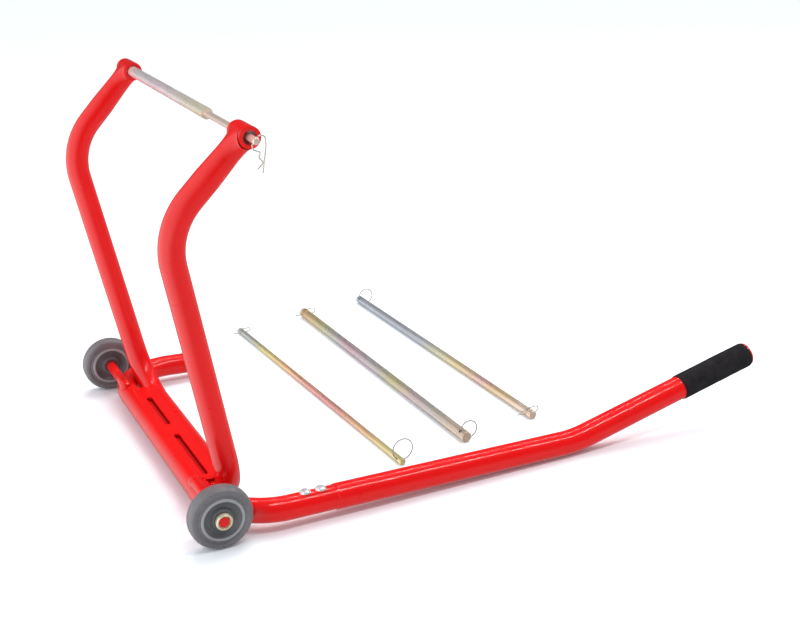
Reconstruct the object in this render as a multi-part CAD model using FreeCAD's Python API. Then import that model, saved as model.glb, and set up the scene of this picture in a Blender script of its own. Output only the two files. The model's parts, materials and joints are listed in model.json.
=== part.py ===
"""Single-sided paddock stand: a tube hoop with a lift pin, on two wheels, with a bolted-on lever handle.

Lengths are millimetres. The model is drawn in the axle frame, whose origin is on the ground under the
middle of the wheel axle, with +X towards the handle, +Y towards the far side and +Z up. finish_node moves
every solid to the row frame, whose origin is the bottom centre of the whole kit.
"""

import FreeCAD
import Part

import math
import os

from FreeCAD import Vector

# Row frame
ROW_ORIGIN = Vector(372.0, 78.0, 0.0)

# Steel tube
TUBE_R = 15.0
TUBE_WALL = 2.0

# Wheels and stub axles
WHEEL_R = 38.1
WHEEL_WIDTH = 22.0
WHEEL_MID_Y = 252.4
AXLE_X = 0.0
AXLE_Z = 38.1
AXLE_SHAFT_R = 7.0
AXLE_JOURNAL_R = 6.0
AXLE_ROOT_Y = 160.0
AXLE_WELD_R = 8.6
RUNNING_CLEARANCE = 0.06
TYRE_BORE_R = 26.4
TYRE_SHOULDER_R = 6.0
HUB_RIM_INNER_R = 21.3
HUB_RIM_HEIGHT = 0.8
HUB_DISH_DEPTH = 5.0
HUB_BOSS_R = 12.5
COLLAR_R = 10.0
COLLAR_LENGTH = 6.0
COLLAR_MOUTH_R = 7.4
COLLAR_MOUTH_DEPTH = 3.0
COLLAR_GAP = 0.4

# Base tube: a front cross run whose ends bend back into the two handle sockets
FRONT_X = 5.5
SOCKET_REF_X = 90.0
SOCKET_REF_Y = 241.8
SOCKET_REF_Z = 22.85
SOCKET_TOE_IN = 0.032
SOCKET_FALL = 0.01775
BASE_BEND_R = 80.0
SOCKET_END_X = 147.0
BOLT_X = (108.0, 128.0)
BOLT_R = 4.0
BOLT_HOLE_R = 4.25
BOLT_HEAD_R = 7.0
BOLT_HEAD_HEIGHT = 4.4
BOLT_HEX_R = 2.9
BOLT_HEX_DEPTH = 2.4
NUT_HALF_WIDTH = 6.5
NUT_HEIGHT = 6.5
NUT_TOP = 8.0
BOLT_TIP = 1.0

# Hoop: a rear cross run whose ends bend up into the two uprights
REAR_X = 37.8
REAR_Z = 21.0
HOOP_CORNER_Y = 193.6
HOOP_BEND_R = 68.0
ELBOW = Vector(-34.1, 222.1, 369.5)
ELBOW_BEND_R = 85.0
SWAGE_LENGTH = 60.0
SWAGE_R = 12.5

# Pin bosses at the top of the uprights
BOSS_X = 55.7
BOSS_Y = 230.0
BOSS_Z = 466.0
BOSS_R = 12.3
BOSS_BORE_R = 7.8
BOSS_LENGTH = 39.0

# Slotted strip between the two cross runs; its rear near corner is cut away beside the rising hoop
STRIP_WIDTH = 25.0
STRIP_THICKNESS = 3.0
STRIP_TOP_Z = 39.7
STRIP_ENDS_Y = (-158.0, 140.0)
STRIP_CORNER_X = 9.8
STRIP_CORNER_Y = 21.0
STRIP_BEVEL_X = 5.4
STRIP_BEVEL_Z = 2.6
SLOTS_Y = ((-150.0, -26.0), (7.0, 103.0))
SLOT_X = 16.8
SLOT_WIDTH = 8.0

# Handle
SPIGOT_R = 12.95
SPIGOT_WALL = 2.5
SPIGOT_X = (94.0, 188.0)
HANDLE_R = 16.0
HANDLE_START_X = 150.0
HANDLE_BEND_X = 493.0
HANDLE_BEND_R = 150.0
HANDLE_RISE_DEG = 13.5
HANDLE_END_X = 779.0
GRIP_R = 17.5
GRIP_LENGTH = 118.0
GRIP_CAP = 4.0

# Fitted lift pin
PIN_ROD_R = 4.0
PIN_SLEEVE_R = 7.0
PIN_SLEEVE_Y = (-107.0, 246.0)
PIN_ROD_Y = (-269.0, 254.0)
PIN_HOLE_Y = -264.0
PIN_HOLE_R = 1.5
PIN_CHAMFER = 0.8

# Spare pins: radius, far end (x, y) and near end (x, y), lying on the ground
SPARE_PINS = (
    (4.5, (245.0, 379.0), (273.8, -165.0)),
    (7.5, (368.0, 405.0), (380.0, -142.5)),
    (6.2, (481.0, 427.0), (498.0, -119.0)),
)
SPARE_HOLE_INSET = 10.0
WIRE_R = 0.8

# Wire rings of the spare pins: the end they are in, their radius and how steeply they stand
RINGS = (
    ("near", 14.5, 68.0),
    ("near", 12.2, 34.0),
    ("far", 12.2, 45.0),
)
RING_HOLE_MARGIN = 0.6

# Hairpin clips
CLIP_HEAD_REACH = 9.0
CLIP_TAIL = 12.0
CLIP_GAP = 0.5
CLIP_HOLE_R = 1.3

NODES = {}


def finish_node(name, shape):
    """Moves the shape to the row frame and keeps it under the node's name."""
    moved = shape.copy()
    moved.translate(-ROW_ORIGIN)
    NODES[name] = moved


def disc(centre, normal, radius):
    """A flat round face."""
    return Part.Face(Part.Wire(Part.Circle(centre, normal, radius).toShape()))


def rod(start, end, radius, hole_radius=0.0):
    """A straight round bar or tube between two points."""
    along = end.sub(start)
    bar = disc(start, along, radius).extrude(along)
    return bar.cut(rod(start, end, hole_radius)) if hole_radius else bar


def unit(vector):
    """The same direction with length 1."""
    return Vector(vector).normalize()


def joined(solids):
    """The solids as one clean solid."""
    whole = solids[0].fuse(solids[1:]) if len(solids) > 1 else solids[0]
    whole = whole.removeSplitter()
    return whole.Solids[0] if len(whole.Solids) == 1 else whole


def bent(points, bend_radii, radius, hole_radius=0.0):
    """A round bar or tube along straight runs joined by tangent arcs, one arc at each inner point."""
    pieces = []
    start = points[0]
    for index in range(1, len(points) - 1):
        before = unit(points[index].sub(points[index - 1]))
        after = unit(points[index + 1].sub(points[index]))
        turn = before.getAngle(after)
        reach = bend_radii[index - 1] * math.tan(turn / 2)
        arc_start = points[index].sub(before * reach)
        axis = unit(before.cross(after))
        centre = arc_start.add(axis.cross(before) * bend_radii[index - 1])
        if arc_start.sub(start).Length > 0.01:
            pieces.append(rod(start, arc_start, radius))
        section = disc(arc_start, before, radius)
        pieces.append(section.revolve(centre, axis, math.degrees(turn)))
        start = points[index].add(after * reach)
    if points[-1].sub(start).Length > 0.01:
        pieces.append(rod(start, points[-1], radius))
    bar = joined(pieces)
    return bar.cut(bent(points, bend_radii, hole_radius)) if hole_radius else bar


def socket_point(x, side):
    """A point on the axis of the near (side -1) or far (side 1) handle socket."""
    y = SOCKET_REF_Y - SOCKET_TOE_IN * (x - SOCKET_REF_X)
    z = SOCKET_REF_Z - SOCKET_FALL * (x - SOCKET_REF_X)
    return Vector(x, side * y, z)


def socket_direction(side):
    """Unit vector along a handle socket, towards its mouth."""
    return unit(Vector(1, -side * SOCKET_TOE_IN, -SOCKET_FALL))


def base_bend_reach():
    """Length from the corner of the base tube to where its bend ends."""
    turn = Vector(0, 1, 0).getAngle(socket_direction(1))
    return BASE_BEND_R * math.tan(turn / 2)


def socket_start(side):
    """Where the bent base tube ends and the straight socket begins."""
    corner = socket_point(FRONT_X, side)
    return corner.add(socket_direction(side) * base_bend_reach())


def front_run_end(side):
    """Where the straight front run ends and a bend of the base tube begins."""
    return socket_point(FRONT_X, side).sub(Vector(0, side * base_bend_reach(), 0))


def base_bend(side):
    """One bend of the base tube, between the front run and a socket."""
    points = [front_run_end(side), socket_point(FRONT_X, side), socket_start(side)]
    return bent(points, [BASE_BEND_R], TUBE_R, TUBE_R - TUBE_WALL)


def base_bar():
    """The base tube as a solid bar from one socket to the other."""
    points = [
        socket_start(-1),
        socket_point(FRONT_X, -1),
        socket_point(FRONT_X, 1),
        socket_start(1),
    ]
    return bent(points, [BASE_BEND_R, BASE_BEND_R], TUBE_R)


def bolt_holes(side):
    """The two upright bolt holes through the upper walls of a socket and of the spigot in it."""
    holes = []
    for x in BOLT_X:
        centre = socket_point(x, side)
        holes.append(rod(centre, centre + Vector(0, 0, 40), BOLT_HOLE_R))
    return holes


def make_base():
    """The base tube: its front run, its two bends and the two handle sockets."""
    inner = TUBE_R - TUBE_WALL
    finish_node("front_cross_tube", rod(front_run_end(-1), front_run_end(1), TUBE_R, inner))
    for name, side in (("near", -1), ("far", 1)):
        finish_node(name + "_base_bend", base_bend(side))
        mouth = socket_point(SOCKET_END_X, side)
        socket = rod(socket_start(side), mouth, TUBE_R, inner)
        finish_node(name + "_socket", socket.cut(bolt_holes(side)))


def hoop_points(side):
    """Centre points of the hoop, from the middle of its cross run up one side."""
    return [
        Vector(REAR_X, 0, REAR_Z),
        Vector(REAR_X, side * HOOP_CORNER_Y, REAR_Z),
        Vector(ELBOW.x, side * ELBOW.y, ELBOW.z),
        Vector(BOSS_X, side * BOSS_Y, BOSS_Z),
    ]


def upright_start(side):
    """Where the hoop's lower bend ends and its straight upright begins."""
    points = hoop_points(side)
    before = unit(points[1].sub(points[0]))
    after = unit(points[2].sub(points[1]))
    reach = HOOP_BEND_R * math.tan(before.getAngle(after) / 2)
    return points[1].add(after * reach)


def hoop_bottom(radius, hole_radius=0.0):
    """The hoop's cross run with its two lower bends."""
    points = [
        upright_start(-1),
        hoop_points(-1)[1],
        hoop_points(1)[1],
        upright_start(1),
    ]
    return bent(points, [HOOP_BEND_R, HOOP_BEND_R], radius, hole_radius)


def boss_cylinder(side, radius):
    """A cylinder on the pin axis at one boss."""
    half = BOSS_LENGTH / 2
    low = Vector(BOSS_X, side * BOSS_Y - half, BOSS_Z)
    return rod(low, low + Vector(0, BOSS_LENGTH, 0), radius)


def swaged_end(side):
    """The upright's end, narrowed to a cone that meets the boss."""
    points = hoop_points(side)
    along = unit(points[3].sub(points[2]))
    start = points[3].sub(along * SWAGE_LENGTH)
    outer = Part.makeCone(TUBE_R, SWAGE_R, SWAGE_LENGTH, start, along)
    inner = Part.makeCone(TUBE_R - TUBE_WALL, SWAGE_R - TUBE_WALL, SWAGE_LENGTH, start, along)
    return start, outer.cut(inner)


def make_upright(side):
    """One upright of the hoop, from above the lower bend to the boss."""
    points = hoop_points(side)
    swage_start, cone = swaged_end(side)
    tube = bent([upright_start(side), points[2], swage_start], [ELBOW_BEND_R], TUBE_R, TUBE_R - TUBE_WALL)
    whole = joined([tube, cone])
    return whole.cut(boss_cylinder(side, BOSS_R))


def make_hoop():
    """Rear cross tube, the two uprights and the two pin bosses."""
    finish_node("rear_cross_tube", hoop_bottom(TUBE_R, TUBE_R - TUBE_WALL))
    for name, side in (("near", -1), ("far", 1)):
        finish_node(name + "_upright", make_upright(side))
        boss = boss_cylinder(side, BOSS_R).cut(boss_cylinder(side, BOSS_BORE_R))
        finish_node(name + "_boss", boss)


def slot_cutter(low_y, high_y):
    """A round-ended slot through the strip."""
    radius = SLOT_WIDTH / 2
    ends = [Vector(SLOT_X, y, 0) for y in (low_y + radius, high_y - radius)]
    holes = [rod(end, end + Vector(0, 0, 80), radius) for end in ends]
    box = Part.makeBox(SLOT_WIDTH, ends[1].y - ends[0].y, 80, ends[0] - Vector(radius, 0, 0))
    return joined([*holes, box])


def prism(corners, along):
    """A solid that sweeps a flat polygon along a vector."""
    return Part.Face(Part.makePolygon([*corners, corners[0]])).extrude(along)


def make_strip():
    """The slotted strip that ties the two cross runs together, bevelled underneath to sit on the front one."""
    front = (FRONT_X + REAR_X - STRIP_WIDTH) / 2
    rear = front + STRIP_WIDTH
    low_y, high_y = STRIP_ENDS_Y
    bottom = STRIP_TOP_Z - STRIP_THICKNESS
    outline = [
        Vector(front, low_y, bottom),
        Vector(rear - STRIP_CORNER_X, low_y, bottom),
        Vector(rear, low_y + STRIP_CORNER_Y, bottom),
        Vector(rear, high_y, bottom),
        Vector(front, high_y, bottom),
    ]
    strip = prism(outline, Vector(0, 0, STRIP_THICKNESS))
    bevel = [
        Vector(front, low_y, bottom),
        Vector(front + STRIP_BEVEL_X, low_y, bottom),
        Vector(front, low_y, bottom + STRIP_BEVEL_Z),
    ]
    strip = strip.cut(prism(bevel, Vector(0, high_y - low_y, 0)))
    for low, high in SLOTS_Y:
        strip = strip.cut(slot_cutter(low, high))
    finish_node("slotted_strip", strip)


def wheel_face_y(side, outer):
    """The wheel's outer or inner face, at the tyre."""
    half = WHEEL_WIDTH / 2 if outer else -WHEEL_WIDTH / 2
    return side * (WHEEL_MID_Y + half)


def on_axle(y):
    """A point on the wheel axis."""
    return Vector(AXLE_X, y, AXLE_Z)


def make_axle(side):
    """A stub axle: a shaft set on the base tube, and a thinner journal for the wheel."""
    shoulder = wheel_face_y(side, False) - side * 1.2
    end = wheel_face_y(side, True) + side * (COLLAR_GAP + COLLAR_LENGTH - COLLAR_MOUTH_DEPTH + 1.4)
    shaft = rod(on_axle(side * AXLE_ROOT_Y), on_axle(shoulder), AXLE_SHAFT_R)
    journal = rod(on_axle(shoulder), on_axle(end), AXLE_JOURNAL_R)
    return joined([shaft, journal]).cut(base_bar())


def make_axle_weld(side):
    """The weld knuckle that holds a stub axle's root to the base tube."""
    blob = Part.makeSphere(AXLE_WELD_R, on_axle(side * AXLE_ROOT_Y))
    shaft = rod(on_axle(side * AXLE_ROOT_Y), on_axle(side * WHEEL_MID_Y), AXLE_SHAFT_R)
    tube_z = socket_point(FRONT_X, side).z
    tube = rod(Vector(FRONT_X, 0, tube_z), Vector(FRONT_X, side * WHEEL_MID_Y, tube_z), TUBE_R)
    return blob.cut(tube).cut(shaft)


def revolved_profile(points):
    """A solid turned about the Y axis at the origin from (y, radius) points."""
    corners = [Vector(radius, y, 0) for y, radius in points]
    wire = Part.makePolygon([*corners, corners[0]])
    return Part.Face(wire).revolve(Vector(0, 0, 0), Vector(0, 1, 0), 360)


def make_tyre():
    """The tyre, centred on the origin with its axis along Y."""
    half = WHEEL_WIDTH / 2
    tread = rod(Vector(0, -half, 0), Vector(0, half, 0), WHEEL_R)
    tread = tread.makeFillet(TYRE_SHOULDER_R, [e for e in tread.Edges if e.Closed])
    return tread.cut(rod(Vector(0, -half, 0), Vector(0, half, 0), TYRE_BORE_R))


def make_hub():
    """The hub, with a raised rim, a dished web and a centre boss, its axis along Y."""
    rim_y = WHEEL_WIDTH / 2 + HUB_RIM_HEIGHT
    dish_y = WHEEL_WIDTH / 2 - HUB_DISH_DEPTH
    boss_y = WHEEL_WIDTH / 2
    bore = AXLE_JOURNAL_R + RUNNING_CLEARANCE
    side = [
        (boss_y, bore),
        (boss_y, HUB_BOSS_R),
        (dish_y, HUB_BOSS_R + 1.5),
        (dish_y, HUB_RIM_INNER_R - 1.5),
        (rim_y - 0.4, HUB_RIM_INNER_R),
        (rim_y, HUB_RIM_INNER_R + 0.8),
        (rim_y, TYRE_BORE_R - 0.8),
        (rim_y - HUB_RIM_HEIGHT, TYRE_BORE_R),
    ]
    other = [(-y, radius) for y, radius in reversed(side)]
    return revolved_profile([*side, *other])


def make_collar(side):
    """The plated collar pressed on the axle's end, with a wider mouth round the axle's tip."""
    inner_y = wheel_face_y(side, True) + side * COLLAR_GAP
    outer_y = inner_y + side * COLLAR_LENGTH
    mouth_y = outer_y - side * COLLAR_MOUTH_DEPTH
    ring = rod(on_axle(inner_y), on_axle(outer_y), COLLAR_R, AXLE_JOURNAL_R)
    return ring.cut(rod(on_axle(mouth_y), on_axle(outer_y), COLLAR_MOUTH_R))


def make_wheels():
    """Stub axles, their welds, tyres, hubs and end collars."""
    finish_node("axle_welds", Part.makeCompound([make_axle_weld(-1), make_axle_weld(1)]))
    for name, side in (("near", -1), ("far", 1)):
        centre = on_axle(side * WHEEL_MID_Y)
        finish_node(name + "_axle", make_axle(side))
        finish_node(name + "_collar", make_collar(side))
        finish_node(name + "_tyre", make_tyre().translated(centre))
        finish_node(name + "_hub", make_hub().translated(centre))


def handle_points():
    """Centre points of the lever handle."""
    start = socket_point(HANDLE_START_X, -1)
    bend = socket_point(HANDLE_BEND_X, -1)
    rise = math.radians(HANDLE_RISE_DEG)
    heading = unit(Vector(1, SOCKET_TOE_IN, 0))
    direction = heading * math.cos(rise) + Vector(0, 0, math.sin(rise))
    length = (HANDLE_END_X - HANDLE_BEND_X) / direction.x
    return start, bend, bend + direction * length, direction


def make_handle():
    """Spigot, weld ring, lever tube and grip."""
    start, bend, end, direction = handle_points()
    spigot = rod(socket_point(SPIGOT_X[0], -1), socket_point(SPIGOT_X[1], -1), SPIGOT_R, SPIGOT_R - SPIGOT_WALL)
    finish_node("handle_spigot", spigot.cut(bolt_holes(-1)))
    weld_start = socket_point(SOCKET_END_X + 0.4, -1)
    ring = rod(weld_start, start, TUBE_R + 0.3, SPIGOT_R)
    plug = rod(start, start + socket_direction(-1) * 6, HANDLE_R - TUBE_WALL, SPIGOT_R)
    finish_node("handle_weld", joined([ring, plug]))
    lever = bent([start, bend, end], [HANDLE_BEND_R], HANDLE_R, HANDLE_R - TUBE_WALL)
    finish_node("handle_tube", lever)
    grip_start = end - direction * GRIP_LENGTH
    grip_end = end + direction * GRIP_CAP
    body = rod(grip_start, grip_end, GRIP_R)
    round_edges = [e for e in body.Edges if e.Closed and e.CenterOfMass.sub(grip_end).Length < 1]
    body = body.makeFillet(3.5, round_edges)
    finish_node("grip", body.cut(rod(grip_start, end, HANDLE_R)))


def make_bolt(x):
    """A button-head bolt through the near socket, with a hexagon recess."""
    centre = socket_point(x, -1)
    top = centre + Vector(0, 0, TUBE_R)
    tip = centre + Vector(0, 0, NUT_TOP - NUT_HEIGHT - BOLT_TIP)
    dome_r = (BOLT_HEAD_R**2 + BOLT_HEAD_HEIGHT**2) / (2 * BOLT_HEAD_HEIGHT)
    dome = Part.makeSphere(dome_r, top + Vector(0, 0, BOLT_HEAD_HEIGHT - dome_r))
    head = dome.common(rod(top, top + Vector(0, 0, BOLT_HEAD_HEIGHT), BOLT_HEAD_R))
    recess = hexagon(top + Vector(0, 0, BOLT_HEAD_HEIGHT - BOLT_HEX_DEPTH), BOLT_HEX_R, BOLT_HEAD_HEIGHT)
    return joined([head.cut(recess), rod(tip, top, BOLT_R)])


def hexagon(base, half_width, height):
    """An upright hexagonal prism; half_width is half of the size across its flats."""
    radius = half_width / math.cos(math.pi / 6)
    corners = []
    for index in range(7):
        angle = index * math.pi / 3
        corners.append(base + Vector(radius * math.cos(angle), radius * math.sin(angle), 0))
    return Part.Face(Part.makePolygon(corners)).extrude(Vector(0, 0, height))


def make_nut(x):
    """A captive nut under the upper wall of the spigot."""
    top = socket_point(x, -1) + Vector(0, 0, NUT_TOP)
    base = top - Vector(0, 0, NUT_HEIGHT)
    return hexagon(base, NUT_HALF_WIDTH, NUT_HEIGHT).cut(rod(base, top, BOLT_R))


def make_fasteners():
    """The two handle bolts and their nuts."""
    finish_node("handle_bolts", Part.makeCompound([make_bolt(x) for x in BOLT_X]))
    finish_node("handle_nuts", Part.makeCompound([make_nut(x) for x in BOLT_X]))


def chamfered_rod(start, end, radius, chamfer):
    """A round bar with both ends chamfered."""
    bar = rod(start, end, radius)
    return bar.makeChamfer(chamfer, [e for e in bar.Edges if e.Closed])


def on_pin(y):
    """A point on the lift pin's axis."""
    return Vector(BOSS_X, y, BOSS_Z)


def lift_clip_direction():
    """The direction of the clip hole in the fitted pin, square to the pin."""
    angle = math.radians(50)
    return Vector(math.cos(angle), 0, math.sin(angle))


def make_lift_pin():
    """The stepped lift pin: a thin rod with a thick sleeve on it, and its hanging hairpin clip."""
    core = chamfered_rod(on_pin(PIN_ROD_Y[0]), on_pin(PIN_ROD_Y[1]), PIN_ROD_R, PIN_CHAMFER)
    across = lift_clip_direction() * 20
    hole = rod(on_pin(PIN_HOLE_Y) - across, on_pin(PIN_HOLE_Y) + across, PIN_HOLE_R)
    finish_node("lift_pin_rod", core.cut(hole))
    sleeve = rod(on_pin(PIN_SLEEVE_Y[0]), on_pin(PIN_SLEEVE_Y[1]), PIN_SLEEVE_R, PIN_ROD_R)
    finish_node("lift_pin_sleeve", sleeve)
    finish_node("lift_pin_clip", hanging_clip())


def hanging_clip():
    """The hairpin clip that hangs by its head from the fitted pin's hole."""
    centre = on_pin(PIN_HOLE_Y)
    behind = 2.4 * WIRE_R
    route = [
        (7.4, 0, -35.0),
        (11.6, 0, -8.0),
        (11.6, 0, 5.2),
        (3.0, 0, 4.2),
        (-3.2, 0, -4.3),
        (-2.4, 0, -9.6),
        (6.8, behind, -13.2),
        (3.6, behind, -18.4),
        (9.4, behind, -24.2),
        (2.4, behind, -31.0),
    ]
    radii = [12, 4.2, 3.2, 2.6, 2.6, 2.4, 2.2, 2.2]
    points = [centre + Vector(*point) for point in route]
    return bent(points, radii, WIRE_R)


def pin_frame(far, near, radius):
    """A spare pin's two end points, and its unit direction from near to far."""
    near_point = Vector(near[0], near[1], radius)
    far_point = Vector(far[0], far[1], radius)
    return near_point, far_point, unit(far_point.sub(near_point))


def ring_layout(hole, along, radius, ring_r, lean_deg):
    """Ring centre, hole direction and hole radius for a ring through a spare pin."""
    across = unit(along.cross(Vector(0, 0, 1)))
    lean = math.radians(lean_deg)
    away = across * math.cos(lean) + Vector(0, 0, math.sin(lean))
    through = across * math.sin(lean) - Vector(0, 0, math.cos(lean))
    sag = ring_r - math.sqrt(ring_r**2 - radius**2)
    centre = hole + away * (ring_r - sag / 2)
    return centre, through, sag / 2 + WIRE_R + RING_HOLE_MARGIN


def lying_clip(hole, along, radius):
    """A hairpin clip whose straight leg goes through a spare pin, the other leg bowed over it."""
    across = unit(along.cross(Vector(0, 0, 1)))
    top = radius + WIRE_R + CLIP_GAP
    head = radius + CLIP_HEAD_REACH
    route = [
        (-radius - CLIP_TAIL, 0),
        (head, 0),
        (head, top),
        (-radius * 0.6, top),
        (-radius - 3.0, 2.6),
        (-radius - 7.0, 5.0),
    ]
    radii = [top * 0.48, top * 0.48, 2.0, 1.5]
    points = [hole + across * u + Vector(0, 0, v) for u, v in route]
    return bent(points, radii, WIRE_R)


def make_spare_pin(number, radius, far, near, ring):
    """One spare pin on the ground, with a ring in one end and a hairpin clip in the other."""
    ring_end, ring_r, lean_deg = ring
    near_point, far_point, along = pin_frame(far, near, radius)
    near_hole = near_point + along * SPARE_HOLE_INSET
    far_hole = far_point - along * SPARE_HOLE_INSET
    ring_hole, clip_hole = (near_hole, far_hole) if ring_end == "near" else (far_hole, near_hole)
    centre, through, ring_hole_r = ring_layout(ring_hole, along, radius, ring_r, lean_deg)
    across = unit(along.cross(Vector(0, 0, 1)))
    bar = chamfered_rod(near_point, far_point, radius, PIN_CHAMFER)
    ring_bore = rod(ring_hole - through * 20, ring_hole + through * 20, ring_hole_r)
    clip_bore = rod(clip_hole - across * 20, clip_hole + across * 20, CLIP_HOLE_R)
    finish_node(f"spare_pin_{number}", bar.cut([ring_bore, clip_bore]))
    finish_node(f"spare_ring_{number}", Part.makeTorus(ring_r, WIRE_R, centre, along))
    finish_node(f"spare_clip_{number}", lying_clip(clip_hole, along, radius))


def make_spare_pins():
    """The three spare pins of other diameters."""
    for index, (radius, far, near) in enumerate(SPARE_PINS):
        make_spare_pin(index + 1, radius, far, near, RINGS[index])


def export_nodes():
    """Writes one STEP file per node and prints the size of the whole kit."""
    os.makedirs("parts", exist_ok=True)
    for name, shape in sorted(NODES.items()):
        shape.exportStep(os.path.join("parts", name + ".step"))
        state = "valid" if shape.isValid() else "INVALID"
        print(name, state, len(shape.Solids), round(shape.Volume, 1), round(shape.BoundBox.ZMin, 2))
    box = Part.makeCompound(list(NODES.values())).BoundBox
    print("low", round(box.XMin, 1), round(box.YMin, 1), round(box.ZMin, 2))
    print("high", round(box.XMax, 1), round(box.YMax, 1), round(box.ZMax, 2))


make_base()
make_hoop()
make_strip()
make_wheels()
make_handle()
make_fasteners()
make_lift_pin()
make_spare_pins()
export_nodes()
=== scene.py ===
"""Looks of the paddock stand: materials, wheels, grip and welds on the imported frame, studio and camera."""

import json
import math
import random

import bpy
from mathutils import Matrix, Vector, noise


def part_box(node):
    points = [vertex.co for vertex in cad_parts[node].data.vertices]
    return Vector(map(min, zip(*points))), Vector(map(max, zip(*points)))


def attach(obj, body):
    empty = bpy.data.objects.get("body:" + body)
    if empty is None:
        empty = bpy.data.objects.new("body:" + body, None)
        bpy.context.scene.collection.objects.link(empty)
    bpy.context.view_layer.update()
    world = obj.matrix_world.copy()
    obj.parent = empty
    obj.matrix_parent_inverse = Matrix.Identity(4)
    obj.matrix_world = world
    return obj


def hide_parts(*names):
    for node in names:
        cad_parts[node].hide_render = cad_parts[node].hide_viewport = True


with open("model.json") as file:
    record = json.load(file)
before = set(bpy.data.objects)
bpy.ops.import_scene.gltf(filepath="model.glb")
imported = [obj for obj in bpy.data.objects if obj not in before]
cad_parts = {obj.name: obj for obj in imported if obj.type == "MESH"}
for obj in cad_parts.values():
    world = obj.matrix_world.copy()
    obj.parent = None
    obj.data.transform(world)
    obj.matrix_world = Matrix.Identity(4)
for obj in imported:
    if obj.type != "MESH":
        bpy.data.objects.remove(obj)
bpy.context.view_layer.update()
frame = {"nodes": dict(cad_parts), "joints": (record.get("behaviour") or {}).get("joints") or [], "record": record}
nodes = frame["nodes"]
joints = {joint["name"]: joint for joint in frame["joints"]}

# Sizes in metres, shared with the CAD
TUBE_R = 0.015
HANDLE_R = 0.016
BOSS_R = 0.0123
GRIP_R = 0.0175
WHEEL_R = 0.0381
WHEEL_HALF = 0.011
TYRE_BORE_R = 0.0264
HUB_BORE_R = 0.00606
HUB_RING_R = 0.0226
COLLAR_R = 0.010
COLLAR_BORE_R = 0.006
COLLAR_MOUTH_R = 0.0074
SWAGE_R = 0.0125
SWAGE_TAPER = 0.0025 / 0.060
TOE_IN = 0.032
FALL = 0.01775
HANDLE_RISE = math.radians(13.5)
SIDES = {"near": -1, "far": 1}
GRIP_LENGTH = 0.122

# The point midway between the wheels, and places measured from it
MIDWAY_X, MIDWAY_Y = -0.372, -0.078
ELBOW_X, ELBOW_Y, ELBOW_Z = -0.0341, 0.2221, 0.3695
SLOT_X = 0.0168
SLOT_ENDS = {"near": (-0.151, -0.025), "far": (0.006, 0.104)}

# The weld flare between an upright and its boss: down the upright, along the boss, and over it at the sides
FLARE_DEPTH = 0.020
FLARE_SPREAD = 0.019
FLARE_RISE = 0.0055


# Shader helpers


class Painter:
    """Builds one material out of nodes, all of them in object coordinates."""

    def __init__(self, name, color, metallic, roughness):
        self.material = bpy.data.materials.new(name)
        self.material.use_nodes = True
        self.tree = self.material.node_tree
        self.shader = self.tree.nodes["Principled BSDF"]
        self.shader.inputs["Base Color"].default_value = (*color, 1)
        self.shader.inputs["Metallic"].default_value = metallic
        self.shader.inputs["Roughness"].default_value = roughness
        self.coordinates = self.add("ShaderNodeTexCoord").outputs["Object"]

    def add(self, kind, **values):
        """A new node; values are its input sockets by name."""
        node = self.tree.nodes.new(kind)
        for key, value in values.items():
            node.inputs[key].default_value = value
        return node

    def link(self, start, end):
        self.tree.links.new(start, end)

    def stretched(self, scale):
        """Object coordinates scaled by a vector."""
        mapping = self.add("ShaderNodeMapping", Scale=scale)
        self.link(self.coordinates, mapping.inputs["Vector"])
        return mapping.outputs["Vector"]

    def noise(self, scale, detail, rough, vector=None):
        texture = self.add("ShaderNodeTexNoise", Scale=scale, Detail=detail, Roughness=rough)
        self.link(vector or self.coordinates, texture.inputs["Vector"])
        return texture.outputs["Fac"]

    def ramp(self, factor, stops):
        """A colour ramp over (position, colour) stops."""
        ramp = self.add("ShaderNodeValToRGB")
        elements = ramp.color_ramp.elements
        while len(elements) < len(stops):
            elements.new(0.5)
        for element, (position, color) in zip(elements, stops):
            element.position = position
            element.color = (*color, 1)
        self.link(factor, ramp.inputs["Fac"])
        return ramp.outputs["Color"]

    def span(self, factor, low, high, start=0.3, end=0.7):
        """The factor's range start to end, mapped to low to high."""
        node = self.add("ShaderNodeMapRange")
        for key, value in zip((1, 2, 3, 4), (start, end, low, high)):
            node.inputs[key].default_value = value
        self.link(factor, node.inputs[0])
        return node.outputs[0]

    def sum(self, first, second):
        """Two values added."""
        node = self.add("ShaderNodeMath")
        self.link(first, node.inputs[0])
        self.link(second, node.inputs[1])
        return node.outputs[0]

    def product(self, first, second):
        """Two colours multiplied."""
        node = self.add("ShaderNodeMix")
        node.data_type = "RGBA"
        node.blend_type = "MULTIPLY"
        node.inputs[0].default_value = 1
        self.link(first, node.inputs[6])
        self.link(second, node.inputs[7])
        return node.outputs[2]

    def color(self, output):
        self.link(output, self.shader.inputs["Base Color"])

    def roughness(self, output):
        self.link(output, self.shader.inputs["Roughness"])

    def bump(self, heights):
        """Bump from (height output, distance in metres, strength) layers."""
        normal = None
        for height, distance, strength in heights:
            bump = self.add("ShaderNodeBump", Distance=distance, Strength=strength)
            self.link(height, bump.inputs["Height"])
            if normal:
                self.link(normal, bump.inputs["Normal"])
            normal = bump.outputs["Normal"]
        self.link(normal, self.shader.inputs["Normal"])


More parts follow.
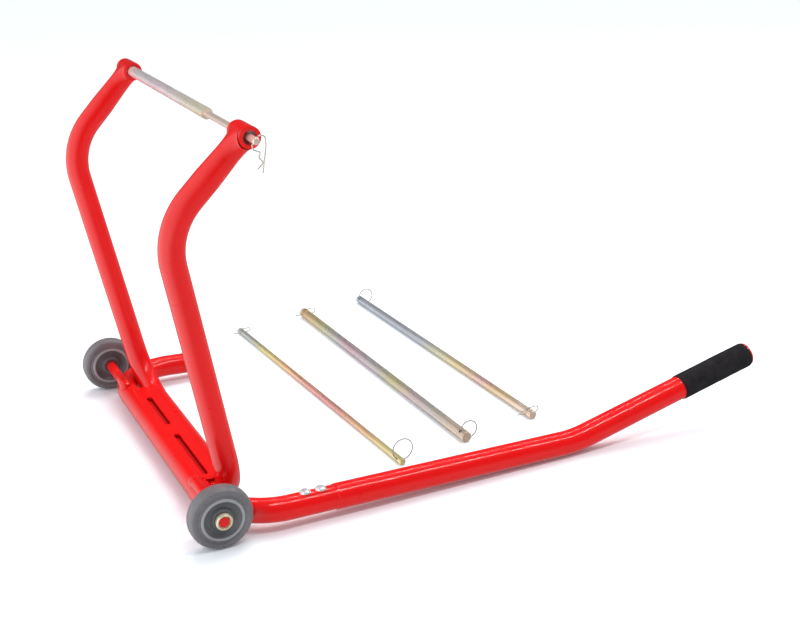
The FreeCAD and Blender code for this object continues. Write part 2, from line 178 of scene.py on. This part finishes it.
def red_powder_coat(name, deep=(0.69, 0.0018, 0.0018), bright=(0.73, 0.0028, 0.0030)):
    """Glossy red powder coat: faint orange peel, and colour and gloss that cloud a little."""
    paint = Painter(name, bright, 0, 0.22)
    paint.shader.inputs["Specular IOR Level"].default_value = 0.15
    paint.shader.inputs["Coat Weight"].default_value = 0.8
    paint.shader.inputs["Coat Roughness"].default_value = 0.035
    cloud = paint.noise(9.0, 2.0, 0.45)
    paint.color(paint.ramp(cloud, [(0.3, deep), (0.7, bright)]))
    paint.roughness(paint.span(paint.noise(46.0, 3.0, 0.5), 0.27, 0.37))
    peel = paint.noise(420.0, 2.0, 0.4)
    sag = paint.noise(18.0, 1.0, 0.4)
    paint.bump([(sag, 0.0006, 0.003), (peel, 0.0001, 0.03)])
    return paint.material


def plated_steel(name, node, colors):
    """Iridescent plating on a bar along Y: drawn lines, and bands of colour from its far to its near end."""
    plate = Painter(name, colors[0], 0.66, 0.24)
    far = max(corner[1] for corner in node.bound_box)
    near = min(corner[1] for corner in node.bound_box)
    axes = plate.add("ShaderNodeSeparateXYZ")
    plate.link(plate.coordinates, axes.inputs[0])
    along = plate.span(axes.outputs["Y"], 0, 1, far, near)
    wander = plate.span(plate.noise(1.0, 2.0, 0.5, plate.stretched((45.0, 9.0, 45.0))), -0.05, 0.05)
    bands = plate.sum(along, wander)
    stops = [((index + 0.5) / len(colors), color) for index, color in enumerate(colors)]
    lines = plate.noise(1.0, 2.0, 0.5, plate.stretched((260.0, 3.0, 260.0)))
    shade = plate.ramp(lines, [(0.3, (0.82, 0.80, 0.79)), (0.7, (1, 1, 1))])
    plate.color(plate.product(plate.ramp(bands, stops), shade))
    patches = plate.noise(1.0, 2.0, 0.5, plate.stretched((160.0, 30.0, 160.0)))
    plate.roughness(plate.span(patches, 0.24, 0.33))
    plate.bump([(lines, 0.00005, 0.015)])
    return plate.material


def turned_metal(name, color, roughness, metallic=0.9):
    """Small bright metal pieces: fine grain and smudged gloss."""
    metal = Painter(name, color, metallic, roughness)
    shade = tuple(0.78 * part for part in color)
    metal.color(metal.ramp(metal.noise(160.0, 4.0, 0.6), [(0.3, shade), (0.7, color)]))
    metal.roughness(metal.span(metal.noise(420.0, 4.0, 0.6), roughness * 0.7, roughness * 1.5))
    metal.bump([(metal.noise(2600.0, 2.0, 0.5), 0.0001, 0.25)])
    return metal.material


def rubber(name, dark, light, roughness, grain):
    """Solid rubber or moulded plastic: mottled tone, dusty gloss and a fine grain."""
    solid = Painter(name, light, 0, roughness)
    tone = solid.noise(30.0, 6.0, 0.6)
    solid.color(solid.ramp(tone, [(0.28, dark), (0.72, light)]))
    solid.roughness(solid.span(solid.noise(75.0, 4.0, 0.6), roughness * 0.8, roughness * 1.25))
    scuffs = solid.noise(1.0, 4.0, 0.7, solid.stretched((90.0, 700.0, 90.0)))
    solid.bump([(scuffs, 0.0002, 0.12), (solid.noise(grain, 3.0, 0.6), 0.00012, 0.3)])
    return solid.material


def foam(name):
    """Closed-cell foam: matte black, open pores and pressed patches."""
    cells = Painter(name, (0.010, 0.009, 0.010), 0, 0.85)
    cells.shader.inputs["Specular IOR Level"].default_value = 0.2
    tone = cells.noise(60.0, 5.0, 0.6)
    cells.color(cells.ramp(tone, [(0.3, (0.007, 0.006, 0.007)), (0.7, (0.017, 0.015, 0.017))]))
    pores = cells.add("ShaderNodeTexVoronoi", Scale=1300.0)
    cells.link(cells.coordinates, pores.inputs["Vector"])
    cells.roughness(cells.span(cells.noise(140.0, 3.0, 0.5), 0.7, 0.95))
    cells.bump([(tone, 0.0006, 0.25), (pores.outputs["Distance"], 0.0003, 0.5)])
    return cells.material


# Mesh helpers


def turned_to(direction, place):
    """The matrix that carries local +Z to the direction and the origin to the place."""
    return Matrix.Translation(place) @ Vector(direction).to_track_quat("Z", "Y").to_matrix().to_4x4()


def make_piece(name, verts, faces, body, material, slot):
    """A smooth-shaded mesh piece that rides on a body."""
    mesh = bpy.data.meshes.new(name)
    mesh.from_pydata([tuple(v) for v in verts], [], faces)
    mesh.validate()
    mesh.shade_smooth()
    mesh.materials.append(material)
    piece = bpy.data.objects.new(name, mesh)
    bpy.context.scene.collection.objects.link(piece)
    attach(piece, body)
    return piece


def softened(profile, radius, steps):
    """The open profile with each inner corner rounded."""
    points = [Vector(p) for p in profile]
    result = [points[0]]
    for before, corner, after in zip(points, points[1:], points[2:]):
        reach = min(radius, (corner - before).length * 0.45, (after - corner).length * 0.45)
        start = corner + (before - corner).normalized() * reach
        end = corner + (after - corner).normalized() * reach
        for step in range(steps + 1):
            t = step / steps
            result.append(start * (1 - t) ** 2 + corner * 2 * t * (1 - t) + end * t**2)
    result.append(points[-1])
    return result


def face_corners(row, next_row, column, next_column):
    """The four (row, column) corners of one face of a grid, in order round the face."""
    return (row, column), (row, next_column), (next_row, next_column), (next_row, column)


def lathe(profile, matrix, segments, shape=None):
    """Vertices and faces of a closed (axial, radius) profile turned about local +Z."""
    verts, faces = [], []
    count = len(profile)
    for turn in range(segments):
        angle = 2 * math.pi * turn / segments
        for axial, radius in profile:
            point = Vector((radius * math.cos(angle), radius * math.sin(angle), axial))
            verts.append(matrix @ (shape(point) if shape else point))
    for turn in range(segments):
        following = (turn + 1) % segments
        for index in range(count):
            after = (index + 1) % count
            faces.append([row * count + place for row, place in face_corners(turn, following, index, after)])
    return verts, faces


def bead_ring(path, radius, pitch, seed, flat, closed=True):
    """Vertices and faces of a rippled weld bead that follows (point, outward) pairs."""
    rng = random.Random(seed)
    sides = 12
    verts, faces = [], []
    travelled = 0.0
    count = len(path)
    wobble = [rng.uniform(-1, 1) for _ in range(count)]
    for index, (point, outward) in enumerate(path):
        ahead = path[(index + 1) % count][0] if closed or index < count - 1 else point
        behind = path[index - 1][0] if closed or index else point
        tangent = (ahead - behind).normalized()
        side = tangent.cross(outward).normalized()
        ripple = abs(math.sin(math.pi * travelled / pitch)) ** 0.6
        size = radius * (0.80 + 0.20 * ripple + 0.05 * wobble[index])
        for step in range(sides):
            angle = 2 * math.pi * step / sides
            verts.append(point + (outward * math.cos(angle) * flat + side * math.sin(angle)) * size)
        travelled += (ahead - point).length
    rows = count if closed else count - 1
    for row in range(rows):
        following = (row + 1) % count
        for step in range(sides):
            after = (step + 1) % sides
            faces.append([line * sides + place for line, place in face_corners(row, following, step, after)])
    if not closed:
        faces.append(tuple(reversed(range(sides))))
        faces.append(tuple((count - 1) * sides + step for step in range(sides)))
    return verts, faces


def middle(node):
    """The middle of a CAD node's box."""
    low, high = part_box(node)
    return (low + high) / 2


# Materials by the record's slots

red = red_powder_coat("red_powder_coat")
# A darker copy of the red paint for the slot floors: painted shade down in the slots
slot_shade_red = red_powder_coat("slot_shade_red", (0.44, 0.0016, 0.0016), (0.52, 0.0022, 0.0022))
pin_bands = {
    "lift_pin_sleeve": [
        (0.96, 0.86, 0.80),
        (0.92, 0.90, 0.90),
        (1.0, 0.85, 0.88),
        (1.0, 0.92, 0.88),
        (1.0, 0.95, 0.74),
    ],
    "lift_pin_rod": [(0.92, 0.80, 0.72), (0.96, 0.84, 0.76), (0.98, 0.80, 0.72), (1.0, 0.82, 0.70)],
    "spare_pin_1": [
        (0.56, 0.58, 0.55),
        (0.88, 0.76, 0.34),
        (0.95, 0.62, 0.34),
        (0.92, 0.52, 0.38),
        (0.84, 0.42, 0.38),
        (0.88, 0.46, 0.38),
        (0.92, 0.60, 0.38),
        (0.84, 0.78, 0.38),
    ],
    "spare_pin_2": [
        (0.77, 0.58, 0.32),
        (0.65, 0.65, 0.39),
        (0.60, 0.58, 0.58),
        (0.72, 0.51, 0.55),
        (0.60, 0.57, 0.58),
        (0.65, 0.62, 0.37),
        (0.67, 0.55, 0.53),
        (0.62, 0.60, 0.58),
        (0.76, 0.65, 0.51),
    ],
    "spare_pin_3": [
        (0.52, 0.55, 0.60),
        (0.54, 0.57, 0.63),
        (0.54, 0.57, 0.63),
        (0.58, 0.60, 0.65),
        (0.68, 0.68, 0.50),
        (0.80, 0.68, 0.40),
        (0.84, 0.56, 0.52),
        (0.86, 0.66, 0.38),
        (0.90, 0.74, 0.60),
    ],
}
finishes = {
    "red_paint": red,
    "bare_steel": turned_metal("bare_steel", (0.42, 0.42, 0.43), 0.35),
    "bolt_steel": turned_metal("bolt_steel", (0.92, 0.92, 0.94), 0.22, 0.6),
    "yellow_zinc": turned_metal("yellow_zinc", (0.84, 0.74, 0.52), 0.26, 0.45),
    "spring_wire": turned_metal("spring_wire", (0.66, 0.62, 0.52), 0.28, 0.5),
    "tyre_grey": rubber("grey_rubber", (0.130, 0.127, 0.132), (0.170, 0.162, 0.167), 0.24, 1500.0),
    # The hub plastic is darkened as painted shade: it stands for the shade in the hub's dish and centre
    "hub_grey": rubber("shaded_hub_plastic", (0.080, 0.084, 0.090), (0.125, 0.127, 0.132), 0.36, 900.0),
    "foam_grip": foam("black_foam"),
}
ring_wire = turned_metal("ring_wire", (0.36, 0.35, 0.33), 0.25, 0.4)
slot_of = {entry["node"]: entry["material_slot"] for entry in frame["record"]["subparts"]}
for name, node in nodes.items():
    node.data.materials.clear()
    if name in pin_bands:
        node.data.materials.append(plated_steel(name + "_plating", node, pin_bands[name]))
    elif name.startswith("spare_ring"):
        node.data.materials.append(ring_wire)
    else:
        node.data.materials.append(finishes[slot_of[name]])


# Wheels


def wheel_profile_tyre():
    """Tyre section: crowned tread, round shoulders, side walls dished towards the hub."""
    lip = WHEEL_HALF - 0.0006
    wall = [
        (-lip, TYRE_BORE_R),
        (-lip, TYRE_BORE_R + 0.0010),
        (-WHEEL_HALF + 0.0016, TYRE_BORE_R + 0.0026),
        (-WHEEL_HALF, WHEEL_R - 0.0070),
        (-WHEEL_HALF + 0.0012, WHEEL_R - 0.0024),
        (-WHEEL_HALF + 0.0052, WHEEL_R - 0.0002),
        (0, WHEEL_R),
    ]
    other = [(-axial, radius) for axial, radius in reversed(wall[:-1])]
    return softened(wall + other, 0.0028, 7)


def wheel_profile_hub():
    """Hub section: raised rim ring, conical dish and a flat centre boss round the bore."""
    half = [
        (WHEEL_HALF - 0.0004, HUB_BORE_R),
        (WHEEL_HALF - 0.0002, 0.0118),
        (WHEEL_HALF - 0.0050, 0.0142),
        (WHEEL_HALF - 0.0040, 0.0180),
        (WHEEL_HALF - 0.0004, 0.0225),
        (WHEEL_HALF + 0.0008, 0.0231),
        (WHEEL_HALF + 0.0007, 0.0254),
        (WHEEL_HALF - 0.0004, TYRE_BORE_R - 0.0001),
    ]
    other = [(-axial, radius) for axial, radius in reversed(half)]
    return softened(half + other, 0.0007, 4)


def collar_profile():
    """Collar section from its inner face, with chamfered edges and a stepped mouth."""
    return softened(
        [
            (0, COLLAR_BORE_R + 0.0001),
            (0, COLLAR_R - 0.0008),
            (0.0008, COLLAR_R),
            (0.0049, COLLAR_R),
            (0.0060, COLLAR_R - 0.0011),
            (0.0060, COLLAR_MOUTH_R + 0.0005),
            (0.0056, COLLAR_MOUTH_R),
            (0.0030, COLLAR_MOUTH_R),
            (0.0030, COLLAR_BORE_R + 0.0001),
        ],
        0.0003,
        3,
    )


# The hub's own lighter plastic, used only on the raised rim ring
rim_plastic = rubber("hub_ring_plastic", (0.24, 0.245, 0.25), (0.33, 0.33, 0.335), 0.34, 900.0)


def build_wheel(name, side):
    """Tyre, hub and end collar of one wheel."""
    body = name + "_wheel"
    place = Vector(joints[name + "_wheel_spin"]["pos_m"])
    matrix = turned_to((0, side, 0), place)
    tyre_mesh = lathe(wheel_profile_tyre(), matrix, 160)
    tyre = make_piece(name + "_tyre_shell", *tyre_mesh, body, finishes["tyre_grey"], "tyre_grey")
    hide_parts(name + "_tyre")
    hub_mesh = lathe(wheel_profile_hub(), matrix, 128)
    hub = make_piece(name + "_hub_shell", *hub_mesh, body, finishes["hub_grey"], "hub_grey")
    hub.data.materials.append(rim_plastic)
    local = matrix.inverted()
    # Faces outside the rim ring's radius get the lighter plastic; the dish and centre inside keep the darker one
    # as painted shade
    for face in hub.data.polygons:
        point = local @ face.center
        if math.hypot(point.x, point.y) > HUB_RING_R:
            face.material_index = 1
    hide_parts(name + "_hub")
    face_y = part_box(name + "_collar")[0 if side > 0 else 1].y
    base = turned_to((0, side, 0), Vector((place.x, face_y, place.z)))
    collar_mesh = lathe(collar_profile(), base, 96)
    collar = make_piece(name + "_end_collar", *collar_mesh, "frame", finishes["yellow_zinc"], "yellow_zinc")
    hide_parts(name + "_collar")


for wheel_name, wheel_side in SIDES.items():
    build_wheel(wheel_name, wheel_side)


# Foam grip

handle_heading = Vector((1, TOE_IN, 0)).normalized()
handle_direction = handle_heading * math.cos(HANDLE_RISE) + Vector((0, 0, math.sin(HANDLE_RISE)))


def foam_shape(point):
    """The foam's slight swell and its uneven, pressed surface."""
    lump = noise.noise(point * 55.0) * 0.00022 + noise.noise(point * 190.0) * 0.00007
    radius = math.hypot(point.x, point.y)
    if radius < 1e-6:
        return point
    scale = (radius + lump - 0.0001) / radius
    return Vector((point.x * scale, point.y * scale, point.z))


def build_grip():
    """The foam sleeve, with a rolled mouth and a domed closed end."""
    start = middle("grip") - handle_direction * GRIP_LENGTH / 2
    profile = [
        (0.0016, HANDLE_R + 0.00005),
        (0, HANDLE_R + 0.0004),
        (0.0003, GRIP_R - 0.0003),
        (0.0060, GRIP_R),
        (0.0400, GRIP_R - 0.0001),
        (0.0800, GRIP_R),
        (GRIP_LENGTH - 0.0065, GRIP_R - 0.0001),
        (GRIP_LENGTH - 0.0012, GRIP_R - 0.0040),
        (GRIP_LENGTH, 0.0085),
        (GRIP_LENGTH, 0.0001),
        (GRIP_LENGTH - 0.0030, 0.0001),
        (GRIP_LENGTH - 0.0030, HANDLE_R + 0.00005),
    ]
    fine = []
    for (a, ra), (b, rb) in zip(profile, profile[1:]):
        steps = max(1, int(abs(b - a) / 0.0015))
        fine += [(a + (b - a) * k / steps, ra + (rb - ra) * k / steps) for k in range(steps)]
    fine.append(profile[-1])
    fine = softened(fine, 0.0006, 2)
    verts, faces = lathe(fine, turned_to(handle_direction, start), 96, foam_shape)
    grip = make_piece("foam_grip_sleeve", verts, faces, "frame", finishes["foam_grip"], "foam_grip")
    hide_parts("grip")


build_grip()


# Welds


def make_weld(name, verts, faces, material=red):
    """A painted weld on the frame."""
    return make_piece(name, verts, faces, "frame", material, "red_paint")


def build_boss_fillet(name, side):
    """The smooth weld fillet that blends the swaged end of an upright into its boss."""
    centre = middle(name + "_boss")
    elbow = Vector((MIDWAY_X + ELBOW_X, MIDWAY_Y + side * ELBOW_Y, ELBOW_Z))
    axis = (centre - elbow).normalized()
    across = (Vector((0, 1, 0)) - axis * axis.y).normalized()
    third = axis.cross(across)
    count, rows = 120, 16
    verts, faces = [], []
    for step in range(count):
        angle = 2 * math.pi * step / count
        for row in range(rows):
            verts.append(centre + fillet_point(angle, row / (rows - 1), axis, across, third))
    for step in range(count):
        following = (step + 1) % count
        for row in range(rows - 1):
            faces.append([line * rows + place for line, place in face_corners(step, following, row, row + 1)])
    make_weld(name + "_boss_weld", verts, faces)


def fillet_point(angle, t, axis, across, third):
    """A point of the flared boss fillet: t runs from the upright's skin, 0, to the boss's skin, 1."""
    outward = across * math.cos(angle) + third * math.sin(angle)
    side = abs(math.cos(angle))
    back = math.sqrt(BOSS_R**2 - min(SWAGE_R * abs(math.sin(angle)), BOSS_R * 0.985) ** 2)
    depth = back + FLARE_DEPTH
    start = outward * (SWAGE_R + SWAGE_TAPER * depth + 0.0001) - axis * depth
    root = outward * SWAGE_R - axis * back
    end = root - across * root.dot(across) + axis * FLARE_RISE * (1 - side)
    end += across * math.copysign(FLARE_SPREAD * side**0.35, math.cos(angle))
    lift = (BOSS_R + 0.0001) / math.hypot(end.dot(axis), end.dot(third))
    end = across * end.dot(across) + (axis * end.dot(axis) + third * end.dot(third)) * lift
    bow = root.lerp((start + end) / 2, 0.35)
    return start * (1 - t) ** 2 + bow * 2 * t * (1 - t) + end * t**2


for weld_name, weld_side in SIDES.items():
    build_boss_fillet(weld_name, weld_side)


def ring_path(centre, axis, radius, count):
    """A circle of (point, outward) pairs."""
    matrix = turned_to(axis, Vector((0, 0, 0)))
    angles = [2 * math.pi * step / count for step in range(count)]
    outwards = [matrix @ Vector((math.cos(angle), math.sin(angle), 0)) for angle in angles]
    return [(centre + outward * radius, outward) for outward in outwards]


socket_axis = Vector((1, TOE_IN, -FALL)).normalized()
step_centre = middle("handle_weld") - socket_axis * 0.0034
handle_ring = ring_path(step_centre, socket_axis, TUBE_R + 0.0001, 120)
handle_bead = make_weld("handle_weld_bead", *bead_ring(handle_ring, 0.0030, 0.0028, 5, 0.30))
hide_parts("handle_weld")


def straight_bead(name, start, end, radius, seed, pitch=0.0028, flat=0.8):
    """A rippled bead from start to end."""
    start, end = Vector(start), Vector(end)
    count = int((end - start).length / 0.0006)
    path = [(start.lerp(end, step / count), Vector((0, 0, 1))) for step in range(count + 1)]
    make_weld(name, *bead_ring(path, radius, pitch, seed, flat, False))


def build_strip_welds():
    """Beads round the slotted strip: its ends, its cut corner, its long edges and the grooves past it."""
    low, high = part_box("slotted_strip")
    z = high.z - 0.0022
    near_corner = (high.x - 0.0098, low.y, z)
    straight_bead("strip_near_weld", (low.x + 0.001, low.y, z), near_corner, 0.0021, 31)
    straight_bead("strip_corner_weld", near_corner, (high.x, low.y + 0.021, z), 0.0024, 32)
    straight_bead("strip_far_weld", (low.x + 0.001, high.y, z), (high.x - 0.002, high.y, z), 0.0021, 33)
    x, z = low.x + 0.0001, high.z - 0.0012
    ends = (x, low.y + 0.004, z), (x, high.y - 0.004, z)
    straight_bead("strip_front_weld", *ends, 0.0012, 21, pitch=0.0026, flat=0.7)
    x, z = high.x - 0.0001, high.z - 0.0026
    ends = (x, low.y + 0.030, z), (x, high.y - 0.016, z)
    straight_bead("strip_rear_weld", *ends, 0.0012, 22, pitch=0.0026, flat=0.7)
    x, z = (low.x + high.x) / 2, 0.0290
    straight_bead("near_groove_weld", (x, low.y - 0.010, z), (x, low.y + 0.018, z), 0.0064, 34)
    straight_bead("far_groove_weld", (x, high.y - 0.010, z), (x, high.y + 0.012, z), 0.0064, 35)


def slot_floor(name, ends, seed):
    """The painted weld that fills the gap below one slot of the strip: a shallow, uneven ribbon in a darker copy
    of the red paint, which is painted shade in the slot.
    """
    rng = random.Random(seed)
    low_y, high_y = (MIDWAY_Y + end for end in ends)
    centre_x, half, columns = MIDWAY_X + SLOT_X, 0.0050, 7
    floor_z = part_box("slotted_strip")[1].z - 0.0046
    rows = int((high_y - low_y) / 0.0015)
    verts, faces = [], []
    for row in range(rows + 1):
        y = low_y + (high_y - low_y) * row / rows
        lift = rng.uniform(0, 0.00012)
        for column in range(columns):
            t = 2 * column / (columns - 1) - 1
            verts.append((centre_x + t * half, y, floor_z + lift - 0.0007 * t * t))
    for row in range(rows):
        for column in range(columns - 1):
            corners = face_corners(row, row + 1, column, column + 1)
            faces.append([line * columns + place for line, place in corners])
    make_weld(name, verts, faces, slot_shade_red)


build_strip_welds()
slot_floor("near_slot_weld", SLOT_ENDS["near"], 771)
slot_floor("far_slot_weld", SLOT_ENDS["far"], 928)


def build_spatter():
    """Small drops of weld spatter under the paint, beside the handle joint."""
    rng = random.Random(7)
    section = [(-0.0004, 0.00002), (-0.0003, 0.0006), (0.0002, 0.0006), (0.0004, 0.0003), (0.0005, 0.00002)]
    verts, faces = [], []
    for _ in range(26):
        angle = rng.uniform(math.radians(20), math.radians(160))
        axial = rng.choice((-1, 1)) * rng.uniform(0.003, 0.014)
        radius = TUBE_R if axial < 0 else HANDLE_R
        outward = Vector((0, math.cos(angle), math.sin(angle)))
        place = step_centre + socket_axis * axial + outward * (radius - 0.0001)
        sized = turned_to(outward, place) @ Matrix.Scale(rng.uniform(0.5, 1.1), 4)
        drop, sides = lathe(softened(section, 0.0002, 3), sized, 12)
        faces += [tuple(index + len(verts) for index in face) for face in sides]
        verts += drop
    make_weld("weld_spatter", verts, faces)


build_spatter()


# Studio


def build_floor():
    """A wide sheet of white paper, very slightly uneven."""
    mesh = bpy.data.meshes.new("studio_floor")
    half = 30.0
    corners = [(-half, -half, 0), (half, -half, 0), (half, half, 0), (-half, half, 0)]
    mesh.from_pydata(corners, [], [(0, 1, 2, 3)])
    sheet = bpy.data.objects.new("studio_floor", mesh)
    bpy.context.scene.collection.objects.link(sheet)
    paper = Painter("white_paper", (0.87, 0.925, 0.95), 0, 0.9)
    paper.bump([(paper.noise(300.0, 3.0, 0.6), 0.0002, 0.05)])
    mesh.materials.append(paper.material)
    sheet.visible_glossy = False


def build_world():
    """White surroundings for soft light. Glossy surfaces mirror a dark room that is bright at its left."""
    falls = {"Z": (-0.25, 0.25, 0.34, 0.05), "X": (-1.0, -0.10, 1.6, 0.0)}
    world = bpy.data.worlds.new("studio")
    bpy.context.scene.world = world
    world.use_nodes = True
    tree = world.node_tree
    soft = tree.nodes["Background"]
    soft.inputs["Color"].default_value = (0.955, 0.94, 1.0, 1)
    soft.inputs["Strength"].default_value = 0.66
    mirrored = tree.nodes.new("ShaderNodeBackground")
    direction = tree.nodes.new("ShaderNodeTexCoord")
    axes = tree.nodes.new("ShaderNodeSeparateXYZ")
    tree.links.new(direction.outputs["Generated"], axes.inputs[0])
    total = tree.nodes.new("ShaderNodeMath")
    for index, (axis, values) in enumerate(falls.items()):
        fall = tree.nodes.new("ShaderNodeMapRange")
        fall.interpolation_type = "SMOOTHSTEP"
        for key, value in zip((1, 2, 3, 4), values):
            fall.inputs[key].default_value = value
        tree.links.new(axes.outputs[axis], fall.inputs[0])
        tree.links.new(fall.outputs[0], total.inputs[index])
    tree.links.new(total.outputs[0], mirrored.inputs["Color"])
    rays = tree.nodes.new("ShaderNodeLightPath")
    mix = tree.nodes.new("ShaderNodeMixShader")
    tree.links.new(rays.outputs["Is Glossy Ray"], mix.inputs["Fac"])
    tree.links.new(soft.outputs[0], mix.inputs[1])
    tree.links.new(mirrored.outputs[0], mix.inputs[2])
    tree.links.new(mix.outputs[0], tree.nodes["World Output"].inputs["Surface"])


def softbox(name, place, aim, size, power, color=(1, 1, 1)):
    """A rectangular area light."""
    data = bpy.data.lights.new(name, "AREA")
    data.shape = "RECTANGLE"
    data.size, data.size_y = size
    data.energy = power
    data.color = color
    lamp = bpy.data.objects.new(name, data)
    lamp.location = place
    lamp.rotation_euler = (Vector(aim) - Vector(place)).to_track_quat("-Z", "Y").to_euler()
    bpy.context.scene.collection.objects.link(lamp)
    return lamp


def strip_light(name, middle_x, y, z, length, width, power):
    """A long thin light that runs along X and faces down onto the handle."""
    lamp = softbox(name, (middle_x, y, z), (middle_x, -0.31, 0.03), (length, width), power)
    direction = Vector((0, -0.31 - y, 0.03 - z)).normalized()
    across = direction.cross(Vector((1, 0, 0)))
    rotation = Matrix((Vector((1, 0, 0)), across * -1, direction * -1)).transposed()
    lamp.rotation_euler = rotation.to_euler()


def build_sun():
    """A broad soft sun from behind on the right, which lifts the paper to white."""
    data = bpy.data.lights.new("sun", "SUN")
    data.energy = 1.85
    data.angle = math.radians(50)
    data.color = (1.0, 0.985, 0.95)
    lamp = bpy.data.objects.new("sun", data)
    lamp.rotation_euler = Vector((-0.35, -0.55, -1.0)).to_track_quat("-Z", "Y").to_euler()
    lamp.visible_glossy = False
    bpy.context.scene.collection.objects.link(lamp)


def build_camera():
    """The camera, above and to the left of the near wheel, and the plain view transform."""
    data = bpy.data.cameras.new("camera")
    data.lens = 57.07
    data.sensor_width = 36
    camera = bpy.data.objects.new("camera", data)
    camera.location = (-0.7477, -1.5575, 0.7491)
    camera.rotation_euler = [math.radians(angle) for angle in (69.8807, 0.0533, -26.1762)]
    bpy.context.scene.collection.objects.link(camera)
    bpy.context.scene.camera = camera
    bpy.context.scene.view_settings.view_transform = "Standard"


build_floor()
build_world()
build_sun()
strip_light("strip_back", 1.3, 0.72, 1.75, 3.2, 0.03, 12)
strip_light("strip_top", 1.3, -0.86, 1.95, 3.2, 0.04, 24)
left_panel = softbox("left_panel", (-2.6, 0.2, 1.5), (-0.3, 0, 0.25), (3.2, 2.6), 38, (0.93, 0.94, 1.0))
left_panel.visible_glossy = False
build_camera()
